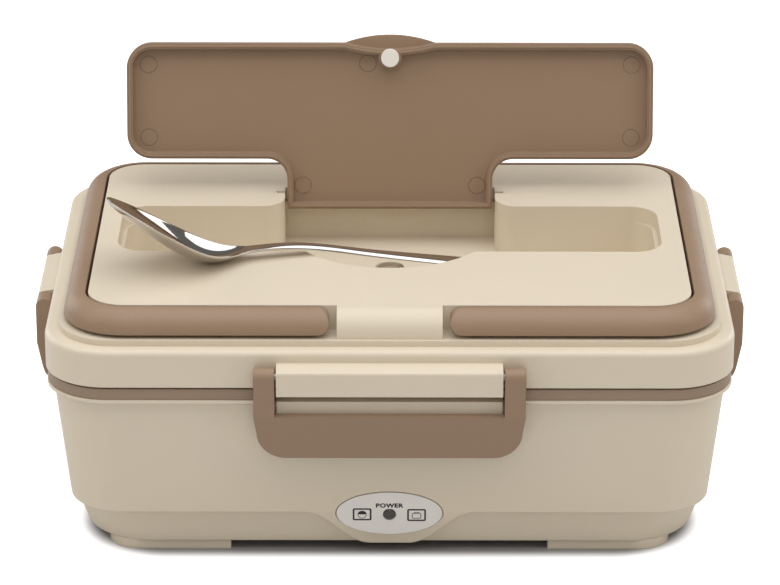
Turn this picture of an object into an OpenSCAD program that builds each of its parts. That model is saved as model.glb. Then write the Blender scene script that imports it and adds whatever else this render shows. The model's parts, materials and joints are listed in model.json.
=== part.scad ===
// Electric lunch box: heated base, lift out food tray, latched lid with two
// carry handles, a cutlery recess under a hinged cover, and a spoon.
// Millimetres. The front faces minus Y, up is plus Z, the floor is z 0.

/* [Overall] */
// Width of the lid across its skirt
lid_w = 236.8; // [200:0.1:280]
// Depth of the lid across its skirt
lid_d = 163.4; // [140:0.1:200]
// Plan radius of the lid's corners
lid_r = 22; // [14:0.5:30]

/* [Base] */
// Wall thickness of the base shell
base_t = 2.4; // [1.6:0.1:4]
// How far the lid overhangs the top of the base wall
base_in = 2.5; // [1:0.1:6]
// Sideways run of the base wall for each millimetre of height
draft = 0.105; // [0:0.005:0.2]
// Height of the top of the base rim
rim_z = 62.2; // [50:0.1:75]
// Height of the rounded bead that rims the base
bead_h = 2.4; // [1.6:0.1:6]
// How far the bead stands out from the wall
bead_out = 2.1; // [0.5:0.1:4]
// How far the catch strips stand out from the lid skirt
catch_out = 2.9; // [1:0.1:5]
// Height of the catch strips
catch_h = 5.4; // [3:0.1:8]
// How far the catch strips rise above the base rim
catch_up = 1.1; // [0:0.1:2]
// Drop from the catch strips to the ridges that the latches snap under
ridge_drop = 5.6; // [4:0.1:8]
// Height of the step above the plinth
plinth_z = 16.9; // [8:0.1:25]
// How far the plinth is set in from the wall
plinth_in = 1.9; // [0:0.1:5]
// How much more the plinth draws in towards its bottom edge
plinth_draw = 1.5; // [0:0.1:3]
// Plan radius of the plinth's bottom corners
bottom_r = 24; // [16:0.5:26]
// Height of the feet
foot_h = 3.7; // [1:0.1:8]
// Length of each foot left to right
foot_w = 42.8; // [20:0.1:60]
// How far the feet stand in from the lid skirt, left and right
foot_in_x = 20.4; // [18:0.1:30]
// How far the feet stand in from the lid skirt, front and back
foot_in_y = 12.7; // [11:0.1:25]
// Length of each foot front to back
foot_l = 28; // [10:0.5:40]
// Corner radius of the feet
foot_r = 10; // [4:0.5:14]
// Thickness of the bottom cover
floor_t = 2; // [1.2:0.1:4]
// Distance from the outer end of each foot to its screw
post_in_x = 4.5; // [4:0.1:10]
// Distance from the outer side of each foot to its screw
post_in_y = 10; // [5:0.1:15]
// Radius of the screw posts
post_r = 3.6; // [2.5:0.1:6]

/* [Control panel] */
// Width of the oval panel recess
oval_w = 37.4; // [20:0.1:60]
// Height of the oval panel recess
oval_h = 17.6; // [10:0.1:30]
// Gap round the oval plate
oval_gap = 0.4; // [0.1:0.05:1]
// Height of the panel centre
oval_z = 16.5; // [10:0.1:30]
// Radius of the round indicator
lens_r = 2.25; // [1:0.05:4]
// How far the indicator lies below the panel centre
lens_dy = 0.4; // [0:0.1:3]
// Thickness of the oval plate
panel_t = 1.1; // [0.6:0.1:2]
// Inner end of the curved apron below the panel
swoop_x0 = 7; // [2:0.5:15]
// Outer end of the curved apron below the panel
swoop_x1 = 29; // [20:0.5:45]
// Distance of the indicator board behind the wall
board_gap = 9.4; // [7:0.1:11]
// Width of the indicator board
board_w = 32; // [20:0.5:60]
// Height of the indicator board
board_h = 13; // [8:0.5:16]
// Thickness of the indicator board
board_t = 1.6; // [0.8:0.1:2]

/* [Container and liner] */
// Height of the liner band that shows at the seam
band_h = 4; // [2:0.1:6]
// How far the band is set in from the lid skirt
band_in = 0.8; // [0:0.1:3]
// Distance from the lid skirt to the tray's wall, left and right
tray_in_x = 19.9; // [18:0.1:30]
// Distance from the lid skirt to the tray's wall, front and back
tray_in_y = 20.2; // [18:0.1:30]
// Sheet thickness of the food tray
tray_t = 0.8; // [0.4:0.1:2]
// Width of the tray's rim
tray_rim = 7; // [3:0.5:10]
// Height of the tray's floor above the floor it stands on
well_z = 20; // [16:0.5:26]
// How much the well and the tray narrow towards their floor
well_in = 5.5; // [2:0.5:8]
// Wall thickness of the liner
liner_t = 2; // [1.2:0.1:3]
// Drop from the liner band to the shelf that the tray's rim rests on
shelf_drop = 2.3; // [1.5:0.1:3]
// Half width of the side dish at its top
dish_hx = 32; // [15:0.5:34]
// Distance from the tray's wall to the side dish, at the right
dish_in_x = 9.5; // [9:0.1:15]
// Distance from the tray's wall to the side dish, front and back
dish_in_y = 8.5; // [8:0.1:15]
// Drop from the tray's shelf to the side dish's rim
dish_drop = 6.3; // [3:0.1:12]
// Wall thickness of the side dish
dish_t = 1.6; // [1:0.1:2.5]

/* [Heater] */
// Half width of the heating plate
plate_hx = 70; // [50:0.5:80]
// Half depth of the heating plate
plate_hy = 42; // [30:0.5:48]
// Length of the ceramic heater
heater_l = 56; // [30:0.5:70]
// Width of the ceramic heater
heater_w = 28; // [15:0.5:40]
// Thickness of the ceramic heater
heater_h = 2.7; // [1.5:0.1:4]
// Distance of the clamp screws from the middle
clamp_x = 36; // [32:0.5:42]
// Thickness of the heat shield
shield_t = 0.8; // [0.4:0.1:1.5]
// Height of the heat shield above the floor
shield_z = 6.4; // [6:0.1:8]
// Radius of the leads with their sleeves
wire_r = 1.1; // [0.6:0.05:1.5]

/* [Power inlet] */
// Height of the inlet's middle
inlet_z = 26; // [22:0.5:40]
// Distance between the two pins
inlet_pitch = 8.6; // [6:0.1:12]
// Radius of each round end of the socket
inlet_r = 4.3; // [3:0.1:6]
// Radius of the pins
inlet_pin_r = 1.2; // [0.8:0.05:2]
// Depth of the socket
inlet_deep = 12; // [8:0.5:16]

/* [Lid] */
// Height of the seam between the liner band and the lid
seam = 0.9; // [0.3:0.1:2]
// Height of the lid skirt up to its shoulder
skirt_h = 13.3; // [8:0.1:20]
// Rise from the shoulder to the channel floor that the handles lie in
ledge_up = 2.1; // [1:0.1:4]
// Rise from the channel floor to the flat top
top_up = 9; // [8.5:0.1:12]
// Distance from the lid skirt to the edge of the flat top, left and right
top_in_x = 14.8; // [12:0.1:25]
// Distance from the lid skirt to the edge of the flat top, front and back
top_in_y = 14.5; // [12:0.1:25]
// Corner radius of the flat top
top_r = 13; // [5:0.5:20]
// Wall thickness of the lid
lid_t = 2.2; // [1.4:0.1:4]
// Half width of the blocks between the handle ends
boss_hx = 18; // [10:0.1:30]
// Rise from the lid's lower edge to its inner plate
plate_up = 0.9; // [0.3:0.1:2]
// Thickness of the inner lid plate
plate_t = 2; // [1.2:0.1:3]
// Distance from the edge of the flat top to the lid screws, left and right
lid_screw_in_x = 25.6; // [12:0.1:35]
// Distance from the edge of the flat top to the lid screws, front and back
lid_screw_in_y = 16.2; // [12:0.1:20]
// Radius of the round of the gasket
gasket_r = 1.2; // [0.8:0.05:2]

/* [Cutlery recess] */
// Distance from the edge of the flat top to the wide pocket's ends
pocket_in = 7.3; // [5:0.1:15]
// Front edge of the pocket
pocket_y0 = -18.5; // [-40:0.1:0]
// Back edge of the wide pocket
pocket_y1 = 24.9; // [10:0.1:40]
// Half width of the neck of the pocket
neck_hx = 38.3; // [20:0.1:60]
// Thickness of the pocket's floor
pocket_t = 2.05; // [1.2:0.05:4]
// Depth of the ledges at the pocket's two ends
end_ledge = 6.1; // [3:0.1:10]
// Width of the ledges at the pocket's two ends
end_in = 1.6; // [0.5:0.1:4]
// Corner radius of the wide pocket
pocket_r = 9.6; // [4:0.1:15]
// Thickness of the recess walls
recess_t = 1.9; // [1.2:0.1:3]
// Half width of the finger notch
notch_hx = 29.8; // [15:0.1:50]
// How far the finger notch reaches forward
notch_l = 15.2; // [5:0.1:25]
// Outer radius of the steam vent
vent_r = 5.15; // [3:0.05:8]
// Position of the steam vent front to back
vent_y = -12.8; // [-30:0.1:20]
// Height of the steam vent above the pocket's floor
vent_h = 11.3; // [6:0.1:12.5]

/* [Cutlery cover] */
// Gap between the cover and the pocket
cover_gap = 0.5; // [0.2:0.05:1.5]
// Length of the cover's neck
cover_neck = 18.3; // [10:0.1:30]
// Whole length of the cover without its tab
cover_l = 60.5; // [40:0.1:80]
// Depth of the cover with its rim
cover_h = 5.5; // [3:0.1:8]
// Thickness of the cover plate
cover_t = 1.8; // [1:0.1:3]
// Width of the rim round the cover
cover_rim = 2.2; // [1:0.1:4]
// Front to back position of the cover's hinge
hinge_y = 39.1; // [20:0.1:60]
// Drop from the flat top to the cover's hinge
hinge_drop = 2.5; // [2:0.1:4]
// Length of the cover behind its hinge
cover_tail = 3.5; // [1:0.1:6]
// How far the cover stands open from shut
cover_open = 104.5; // [0:0.5:120]
// Radius of the cover's hinge stubs
stub_r = 1.2; // [0.8:0.05:2]
// Half width of the cover's grip tab
tab_hx = 16.4; // [8:0.1:25]
// Length of the cover's grip tab
tab_l = 2.9; // [1:0.1:6]
// Radius of the vent plug's head
plug_r = 3.25; // [2:0.05:5]
// Radius of the vent plug's stem
stem_r = 2; // [1:0.05:3]

/* [Handles] */
// Width of the handle bars
bar_w = 7.5; // [5:0.1:12]
// Height of the handle bars
bar_h = 7.7; // [5:0.1:12]
// Gap between the handles and the flat top
bar_gap = 1; // [0.3:0.1:2]
// Outer corner radius of the handles
bar_r = 21.5; // [12:0.5:30]
// Distance of each handle pivot from the centre line
pivot_x = 24.5; // [15:0.1:40]
// Radius of the handle pins
hpin_r = 1.5; // [1:0.05:2.5]
// How far the handle pins run into the lid
hpin_in = 8.7; // [5:0.1:12]
// How far the handle pins run into each handle end
hpin_out = 4.8; // [3:0.1:6]

/* [Latches] */
// Half length of the front and back latch blocks
long_hx = 38.4; // [20:0.1:60]
// Half length of the side latch blocks
short_hx = 17.2; // [10:0.1:30]
// Width of the latch arms
arm_w = 7.1; // [4:0.1:12]
// Gap between the latch arms and their blocks
arm_gap = 0.6; // [0.3:0.05:1.5]
// How far the latches' lower edge stands out from the lid
foot_out = 3.6; // [3:0.1:6]
// Thickness of the latches' lower edge
latch_t = 3; // [2:0.1:4]
// Corner radius of the latches
latch_r = 10; // [4:0.5:16]
// How far the latch's rib reaches under its ridge
rib_grip = 1.2; // [0.5:0.1:2]
// Full swing of the latches as the lid comes off
latch_swing = 150; // [90:1:170]
// Rise of the lid while the latches make their full swing
lid_rise = 55; // [20:1:80]
// How far the latches stand out from the lid
latch_out = 6.4; // [4:0.1:10]
// Rise from the lid's lower edge to the latch hinge
latch_up = 5.6; // [4.5:0.1:7]
// Height of the latch's cross bar
bar_tall = 16.4; // [12:0.1:22]
// How far the cross bar reaches up over the catch strip
bar_lap = 1.1; // [0.5:0.1:3]
// Radius of the latch pins
lpin_r = 1.25; // [0.8:0.05:2]
// How far the latch pins run into each arm
lpin_in = 5.3; // [3:0.1:6]

/* [Spoon] */
// Length of the spoon's bowl in plan
bowl_l = 51; // [30:1:60]
// Half width of the spoon's bowl
bowl_hw = 15; // [8:0.5:22]
// Depth of the spoon's bowl
bowl_d = 6; // [3:0.2:12]
// Half width of the spoon's handle near its end
grip_hw = 5.4; // [3:0.1:9]
// Sheet thickness of the spoon
spoon_t = 1.7; // [1:0.1:3]
// Half width of the spoon's neck
neck_w = 2.6; // [1.5:0.1:5]
// Turn of the spoon seen from above
spoon_turn = 14; // [0:1:30]
// Roll of the bowl towards the front
spoon_roll = 6; // [0:1:15]

/* [Screws] */
// Radius of the screw shanks
screw_r = 1.5; // [1:0.05:2.5]
// Length of the bottom screws
cover_screw_l = 13; // [8:0.5:18]
// Length of the lid screws
lid_screw_l = 12; // [8:0.5:16]
// Length of the heater screws
clamp_screw_l = 6; // [4:0.5:7]
// Radius of the screw heads
head_r = 2.8; // [2:0.05:4]
// Height of the screw heads
head_h = 2; // [1:0.1:3]

/* [Fits] */
// Running clearance of a pin in its bore
run_fit = 0.05; // [0.02:0.01:0.1]
// Clearance of a pin or screw that is held fast
held_fit = 0.02; // [0.01:0.01:0.05]
// Gap between pieces that only sit side by side
side_gap = 0.3; // [0.1:0.05:0.6]
// Gap between a latch and the base it snaps over
snap_gap = 0.4; // [0.2:0.05:0.8]
// Gap between a piece and the bigger piece it drops into
drop_gap = 1; // [0.5:0.1:2]
// Gap round a screw in the piece it clamps
pass_gap = 0.2; // [0.1:0.05:0.5]

/* [Hidden] */

eps = 0.01;
lid_hx = lid_w / 2;
lid_hy = lid_d / 2;

// Heights, from the base rim up
band_z = rim_z + band_h;
lid_z = band_z + seam;
shoulder_z = lid_z + skirt_h;
ledge_z = shoulder_z + ledge_up;
top_z = ledge_z + top_up;
shelf_z = band_z - shelf_drop;
dish_z = shelf_z - dish_drop;
plate_z = lid_z + plate_up;

// Plan sizes, from the lid skirt in
top_hx = lid_hx - top_in_x;
top_hy = lid_hy - top_in_y;
tray_hx = lid_hx - tray_in_x;
tray_hy = lid_hy - tray_in_y;
foot_x1 = lid_hx - foot_in_x;
foot_x0 = foot_x1 - foot_w;
foot_y1 = lid_hy - foot_in_y;
post_x = foot_x1 - post_in_x;
post_y = foot_y1 - post_in_y;

// Base
wall_z = rim_z - bead_h;
base_hx = lid_hx - base_in;
base_hy = lid_hy - base_in;
base_r = lid_r - 0.5;
tilt = atan(draft);
bot_hx = wall_hx(foot_h) - plinth_in - plinth_draw;
bot_hy = wall_hy(foot_h) - plinth_in - plinth_draw;
wall_r = base_r - 2;
bead_lead = 1.2;
root = base_in + base_t / 2;
floor_gap = side_gap + 0.1;
catch_z1 = rim_z + catch_up;
catch_z0 = catch_z1 - catch_h;
ridge_z = catch_z0 - ridge_drop;
cream = [0.87, 0.83, 0.74];
brown = [0.57, 0.48, 0.39];
steel = [0.8, 0.8, 0.8];
plate_grey = [0.78, 0.79, 0.8];
dark = [0.12, 0.12, 0.12];
white = [0.95, 0.95, 0.93];

// Liner, tray and heater
band_hx = lid_hx - band_in;
band_hy = lid_hy - band_in;
rim_hx = tray_hx + tray_rim;
rim_hy = tray_hy + tray_rim;
rim_r = 18;
shelf_hx = rim_hx + drop_gap;
shelf_hy = rim_hy + drop_gap;
well_hx = tray_hx + drop_gap;
well_hy = tray_hy + drop_gap;
well_r = 17;
tray_r = well_r - drop_gap;
tray_z = well_z + side_gap;
rest_gap = 0.05;
slot_hx = plate_hx - 11;
slot_hy = plate_hy - 7;
slug_hx = slot_hx - drop_gap;
slug_hy = slot_hy - drop_gap;
slug_z = well_z - 2 * liner_t - 1;
heater_z = slug_z - 0.1 - heater_h;
strap_z = heater_z - side_gap;
boss_z = strap_z - 0.9;
dish_x = tray_hx - dish_in_x - dish_hx;
dish_hy = tray_hy - dish_in_y;

// Lid
step_in = 4.7;
round_r = 2;
pocket_hx = top_hx - pocket_in;
lid_screw_x = top_hx - lid_screw_in_x;
lid_screw_y = top_hy - lid_screw_in_y;
hinge_z = top_z - hinge_drop;
cover_hx = pocket_hx - cover_gap;
cover_nx = neck_hx - cover_gap - 0.4;
cover_y1 = hinge_y + cover_tail;
cover_y0 = cover_y1 - cover_l;
neck_y = cover_y1 - cover_neck;
neck_back = hinge_y + sqrt(pow(cover_tail, 2) + pow(top_z - hinge_z, 2)) + cover_gap;
vent_hole = 1.5;
inner_z = plate_z + plate_t + rest_gap;
floor_z = inner_z + pocket_t;
pocket_deep = top_z - floor_z;
vent_z = floor_z + vent_h;
seal_hx = tray_hx + tray_rim / 2 + 1;
seal_hy = tray_hy + tray_rim / 2 + 1;
seal_r = 15;
seal_z = shelf_z + rest_gap + tray_t + 0.15;

// Handles
bar_z = top_z - bar_h;
bar_hx = top_hx + bar_gap + bar_w;
bar_hy = top_hy + bar_gap + bar_w;
pivot_z = bar_z + bar_h / 2;
end_r = bar_h / 2;
socket_y = top_hy - hpin_in - 0.1;
hpin_y = bar_hy - bar_w + hpin_out;

// Latches
arm_r = (latch_out - side_gap) / 2;
arm_y = side_gap + arm_r;
latch_pz = lid_z + latch_up;
latch_z1 = catch_z0 + bar_lap;
latch_z0 = latch_z1 - bar_tall;
block_out = latch_out - side_gap;
foot_in = foot_out - latch_t;
ridge_out = foot_in - snap_gap - 0.1;
rise = lid_rise / (latch_swing * PI / 180);
ridge_slope = (rise - arm_y) / (latch_pz - ridge_z);
catch_slope = (rise + 0.5) / (latch_pz - catch_z0);

// Power inlet
inlet_t = 1.8;
inlet_rim_r = 8.2;
inlet_rim_h = 15;
inlet_rim_t = 1.6;
inlet_face = wall_hy(inlet_z) + 1.2;

// Spoon
tip_x = -97.6;
end_x = 62;
rest_x = -61;
spoon_y = -28.6;
spoon_route = [[-97.6, 118.4, -0.62], [-82.4, 108.5, -0.66], [-66.3, 98.4, -0.52],
    [-54.5, 94.9, -0.06], [-41, 95.4, 0.02], [-31, 94.9, -0.12], [-8, 90.2, -0.22],
    [20, 84.5, -0.2], [42, 79.6, -0.25], [62, 74.2, -0.28]];

function wall_hx(z) = base_hx - draft * (wall_z - z);
function wall_hy(z) = base_hy - draft * (wall_z - z);

// Rounded rectangle in plan
module rr2(hx, hy, r) {
    square([2 * (hx - r), 2 * hy], center = true);
    square([2 * hx, 2 * (hy - r)], center = true);
    for (sx = [-1, 1]) {
        for (sy = [-1, 1]) {
            translate([sx * (hx - r), sy * (hy - r)]) circle(r, $fn = 96);
        }
    }
}

// Upright rounded block between two heights
module rr(hx, hy, r, z0, z1) {
    translate([0, 0, z0]) linear_extrude(z1 - z0) rr2(hx, hy, r);
}

// Rounded block whose walls lean between two heights
module lean(hx0, hy0, r0, z0, hx1, hy1, r1, z1) {
    hull() {
        translate([0, 0, z0]) linear_extrude(eps) rr2(hx0, hy0, r0);
        translate([0, 0, z1 - eps]) linear_extrude(eps) rr2(hx1, hy1, r1);
    }
}

// Profile carried once round a rounded rectangle, measured from the corner centre
module around(hx, hy, r) {
    for (k = [0:3]) {
        sx = (k == 0 || k == 3) ? 1 : -1;
        sy = (k < 2) ? 1 : -1;
        translate([sx * (hx - r), sy * (hy - r), 0])
            rotate([0, 0, 90 * k]) rotate_extrude(angle = 90, $fn = 96) children();
    }
    for (a = [0, 180]) {
        rotate([0, 0, a]) translate([hx - r, hy - r, 0])
            rotate([90, 0, 0]) linear_extrude(2 * (hy - r)) children();
        rotate([0, 0, a + 90]) translate([hy - r, hx - r, 0])
            rotate([90, 0, 0]) linear_extrude(2 * (hx - r)) children();
    }
}

// Four sides of the box in turn, with plus Y outward from the lid skirt
module side(k) {
    rotate([0, 0, [180, 0, 90, -90][k]])
        translate([0, (k < 2) ? lid_hy : lid_hx, 0]) children();
}

// Flat shape drawn in X and Z, given a thickness from y0 to y1
module slab_xz(y0, y1) {
    translate([0, y1, 0]) rotate([90, 0, 0]) linear_extrude(y1 - y0) children();
}

// Flat shape drawn in Y and Z, given a length from x0 to x1
module slab_yz(x0, x1) {
    translate([x0, 0, 0]) rotate([90, 0, 90]) linear_extrude(x1 - x0) children();
}

// Frame of the oval panel: local Z leaves the leaning front wall
module on_front() {
    translate([0, -wall_hy(oval_z), oval_z]) rotate([90 + tilt, 0, 0]) children();
}

module oval(w, h) {
    polygon([for (a = [0:4:356]) [w / 2 * cos(a), h / 2 * sin(a)]]);
}

// BASE

// Edge of the wall skin that flows down below the panel
module swoop() {
    n = 14;
    right = [for (i = [0:n]) let (u = i / n) [swoop_x0 + (swoop_x1 - swoop_x0) * u,
        foot_h + (plinth_z - foot_h) * (3 * u * u - 2 * u * u * u)]];
    left = [for (i = [n:-1:0]) [-right[i][0], right[i][1]]];
    polygon(concat(right, [[swoop_x1, plinth_z + 1], [-swoop_x1, plinth_z + 1]], left));
}

module base_shell() {
    color(cream) difference() {
        union() {
            lean(wall_hx(plinth_z), wall_hy(plinth_z), wall_r, plinth_z,
                base_hx, base_hy, base_r, wall_z + eps);
            lean(base_hx, base_hy, base_r, wall_z, base_hx + bead_out, base_hy + bead_out,
                base_r, wall_z + bead_lead);
            rr(base_hx + bead_out, base_hy + bead_out, base_r, wall_z + bead_lead - eps, rim_z);
            lean(bot_hx, bot_hy, bottom_r, foot_h, wall_hx(plinth_z) - plinth_in,
                wall_hy(plinth_z) - plinth_in, wall_r, plinth_z + eps);
            intersection() {
                lean(bot_hx + plinth_in, bot_hy + plinth_in, bottom_r, foot_h,
                    wall_hx(plinth_z), wall_hy(plinth_z), wall_r, plinth_z + eps);
                slab_xz(-lid_hy, -lid_hy / 2) swoop();
            }
            for (k = [0:3]) side(k) catch_strip((k < 2) ? long_hx : short_hx);
            for (k = [0:3]) side(k) ridge((k < 2) ? long_hx : short_hx);
        }
        lean(wall_hx(plinth_z) - base_t, wall_hy(plinth_z) - base_t, wall_r - base_t, plinth_z,
            base_hx - base_t, base_hy - base_t, base_r - base_t, rim_z + 2);
        lean(bot_hx - base_t, bot_hy - base_t, bottom_r - base_t, foot_h - 1,
            wall_hx(plinth_z) - base_t - plinth_in, wall_hy(plinth_z) - base_t - plinth_in,
            wall_r - base_t, plinth_z + eps);
        on_front() {
            translate([0, 0, -1]) linear_extrude(3) oval(oval_w, oval_h);
            translate([0, -lens_dy, -9]) cylinder(r = lens_r + pass_gap, h = 10, $fn = 48);
        }
        slab_xz(lid_hy - 16, lid_hy) translate([0, inlet_z]) stadium(inlet_r + inlet_t + side_gap);
        slab_xz(inlet_face - inlet_rim_t - 0.1, lid_hy) translate([0, inlet_z])
            inlet_rim(pass_gap);
    }
}

// Strip on the base rim that the latch closes over
module catch_strip(hx) {
    translate([-hx, -root, catch_z0]) cube([2 * hx, root + catch_out, rim_z - catch_z0]);
    translate([-hx, side_gap - band_in, rim_z - eps])
        cube([2 * hx, catch_out + band_in - side_gap, catch_z1 - rim_z + eps]);
}

// Ridge whose underside follows the rib of the latch as it swings out
module ridge(hx) {
    run = root + ridge_out;
    slab_yz(2 - hx, hx - 2) polygon([[-root, ridge_z - run * ridge_slope],
        [ridge_out, ridge_z], [ridge_out, ridge_z + 1], [-root, ridge_z + 1 + run * 0.7]]);
}

module bottom_cover() {
    color(cream) difference() {
        union() {
            rr(bot_hx - base_t - floor_gap, bot_hy - base_t - floor_gap,
                bottom_r - base_t - floor_gap, foot_h - 0.2, foot_h + 0.2 + floor_t);
            intersection() {
                rr(foot_x1, foot_y1, foot_r, 0, foot_h - rest_gap);
                for (sx = [-1, 1]) {
                    for (sy = [-1, 1]) {
                        translate([sx * (foot_x0 + foot_x1) / 2, sy * (foot_y1 - foot_l / 2),
                            foot_h / 2])
                            cube([foot_x1 - foot_x0, foot_l, foot_h + 0.6], center = true);
                    }
                }
            }
        }
        at_posts() translate([0, 0, -1])
            cylinder(r = screw_r + pass_gap, h = foot_h + floor_t + 3, $fn = 32);
        at_posts() translate([0, 0, -1]) cylinder(r = head_r + 0.5, h = foot_h, $fn = 32);
    }
}

module at_posts() {
    for (sx = [-1, 1]) {
        for (sy = [-1, 1]) {
            translate([sx * post_x, sy * post_y, 0]) children();
        }
    }
}

// Cross head screw that points up, with the underside of its head at one height
module screw(head_z, len) {
    w = 0.8;
    l = head_r * 1.2;
    translate([0, 0, head_z]) difference() {
        union() {
            translate([0, 0, -head_h]) cylinder(r = head_r, h = head_h, $fn = 48);
            cylinder(r = screw_r, h = len, $fn = 32);
        }
        for (a = [0, 90]) rotate([0, 0, a])
            translate([-l / 2, -w / 2, -head_h - 1]) cube([l, w, head_h / 2 + 1]);
    }
}

module cover_screws() {
    color(steel) at_posts() screw(foot_h - 1, cover_screw_l);
}

// LINER

module inner_liner() {
    deck = shelf_z - liner_t;
    color(brown) difference() {
        union() {
            rr(band_hx, band_hy, lid_r - band_in, rim_z + 0.1, band_z);
            rr(shelf_hx + liner_t, shelf_hy + liner_t, rim_r + liner_t, deck, band_z);
            lean(well_hx + liner_t - well_in, well_hy + liner_t - well_in, well_r,
                well_z - 2 * liner_t, well_hx + liner_t, well_hy + liner_t, well_r + liner_t,
                deck + eps);
            at_posts() translate([0, 0, foot_h + floor_t + 0.4])
                cylinder(r = post_r, h = deck - foot_h - floor_t, $fn = 48);
        }
        translate([0, 0, rim_z - 3]) difference() {
            rr(band_hx - 3.4, band_hy - 3.4, lid_r - 4, 0, band_z - rim_z + 3 - liner_t);
            rr(shelf_hx + liner_t, shelf_hy + liner_t, rim_r + liner_t, -1, band_z);
        }
        rr(shelf_hx, shelf_hy, rim_r, shelf_z, band_z + 1);
        lean(well_hx - well_in, well_hy - well_in, well_r - liner_t, well_z - liner_t,
            well_hx, well_hy, well_r, shelf_z + eps);
        rr(slot_hx, slot_hy, 8, well_z - 3 * liner_t, well_z);
        at_posts() cylinder(r = screw_r + held_fit, h = foot_h + cover_screw_l + 2, $fn = 32);
    }
}

// HEATER

module at_clamp() {
    for (sx = [-1, 1]) {
        translate([sx * clamp_x, 0, 0]) children();
    }
}

module heating_plate() {
    color(plate_grey) difference() {
        union() {
            rr(plate_hx, plate_hy, 10, well_z - liner_t + 0.1, well_z);
            rr(slug_hx, slug_hy, 7, slug_z, well_z - liner_t + 0.2);
            at_clamp() translate([0, 0, boss_z]) cylinder(r = 3.4, h = slug_z - boss_z + 1, $fn = 48);
        }
        at_clamp() translate([0, 0, boss_z - 1])
            cylinder(r = screw_r + held_fit, h = clamp_screw_l + 1, $fn = 32);
    }
}

module ptc_heater() {
    tab = [6, 4, 0.6];
    color([0.85, 0.72, 0.35]) {
        translate([-heater_l / 2, -heater_w / 2, heater_z]) cube([heater_l, heater_w, heater_h]);
        for (sx = [-1, 1]) translate([sx * (heater_l + tab[0]) / 2, -9, heater_z + 1.3])
            cube([tab[0] + eps, tab[1], tab[2]], center = true);
    }
}

module heater_clamp() {
    w = 12;
    color(steel) difference() {
        union() {
            translate([-clamp_x - 6, -w / 2, boss_z - 0.9]) cube([2 * clamp_x + 12, w, 0.8]);
            translate([-22, -w / 2, boss_z - 0.2]) cube([44, w, strap_z - boss_z + 0.4]);
        }
        at_clamp() translate([0, 0, boss_z - 2]) cylinder(r = screw_r + pass_gap, h = 3, $fn = 32);
    }
}

module clamp_screws() {
    color(steel) at_clamp() screw(boss_z - 1, clamp_screw_l);
}

module heat_shield() {
    color([0.72, 0.72, 0.7]) difference() {
        rr(plate_hx + 2, plate_hy + 4, 10, shield_z, shield_z + shield_t);
        for (sx = [-1, 1]) translate([sx * (plate_hx - 4), 0, shield_z - 1])
            cylinder(r = 2, h = shield_t + 2, $fn = 32);
    }
}

module thermostat() {
    color(dark) translate([46, 14, slug_z]) {
        translate([0, 0, -3.8]) cylinder(r = 7.8, h = 3.7, $fn = 64);
        translate([0, 0, -6]) cylinder(r = 6.2, h = 2.3, $fn = 64);
        for (a = [0, 180]) rotate([0, 0, a]) translate([1.5, 2, -6.55]) cube([3, 7, 0.6]);
    }
}

module thermal_fuse() {
    color(steel) translate([-46, 14, slug_z - 2.6]) rotate([90, 0, 0]) {
        cylinder(r = 2, h = 10, center = true, $fn = 48);
        cylinder(r = 0.5, h = 26, center = true, $fn = 24);
    }
}

// Round lead through a list of points
module lead(points) {
    for (i = [0:len(points) - 2]) {
        hull() {
            translate(points[i]) sphere(r = wire_r, $fn = 12);
            translate(points[i + 1]) sphere(r = wire_r, $fn = 12);
        }
    }
}

// Leads by hand: inlet to fuse, inlet to thermostat, both to the heater and to the board
module wiring() {
    z = 10;
    tab_z = heater_z + 1.3;
    fuse_z = slug_z - 2.6;
    stat_z = slug_z - 6.2;
    pin_x = inlet_pitch / 2;
    pin_y = inlet_face - 15.2;
    board_y = board_gap - wall_hy(oval_z) + 3;
    color([0.75, 0.1, 0.1]) {
        lead([[-pin_x, pin_y, inlet_z - 2.4], [-pin_x, pin_y, 13], [-46, 54, z],
            [-46, 28.4, fuse_z]]);
        lead([[pin_x, pin_y, inlet_z - 2.4], [pin_x, pin_y, 13], [49, 52, z], [49, 24.4, stat_z]]);
        lead([[-46, -0.4, fuse_z], [-45, -9, fuse_z], [-35.2, -9, tab_z]]);
        lead([[43, 3.6, stat_z], [46, -4, z], [44.5, -9, 12], [35.2, -9, tab_z]]);
        lead([[-12, board_y, 12], [-30, -54, z], [-52, -20, z], [-45, -9, fuse_z]]);
        lead([[12, board_y, 12], [34, -54, z], [52, -20, z], [46, -4, z]]);
    }
}

// Figure eight outline of the power inlet
module stadium(r) {
    for (s = [-1, 1]) translate([s * inlet_pitch / 2, 0]) circle(r, $fn = 64);
    square([inlet_pitch, 2 * r], center = true);
}

// Outline of the inlet's rim, grown by g
module inlet_rim(g) {
    intersection() {
        stadium(inlet_rim_r + g);
        square([40, inlet_rim_h + 2 * g], center = true);
    }
}

// Two holes or pins side by side, from y0 to y1
module at_pins(r, y0, y1) {
    for (s = [-1, 1]) translate([s * inlet_pitch / 2, y1, inlet_z]) rotate([90, 0, 0])
        cylinder(r = r, h = y1 - y0, $fn = 48);
}

module inlet_housing() {
    color(dark) difference() {
        union() {
            slab_xz(inlet_face - inlet_deep - 2, inlet_face) translate([0, inlet_z])
                stadium(inlet_r + inlet_t);
            slab_xz(inlet_face - inlet_rim_t, inlet_face) translate([0, inlet_z]) inlet_rim(0);
        }
        slab_xz(inlet_face - inlet_deep, inlet_face + 1) translate([0, inlet_z]) stadium(inlet_r);
        at_pins(inlet_pin_r + held_fit, inlet_face - inlet_deep - 4, inlet_face - inlet_deep + 2);
    }
}

module inlet_pins() {
    color([0.85, 0.8, 0.6])
        at_pins(inlet_pin_r, inlet_face - inlet_deep - 3.1, inlet_face - 2.5);
}

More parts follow.
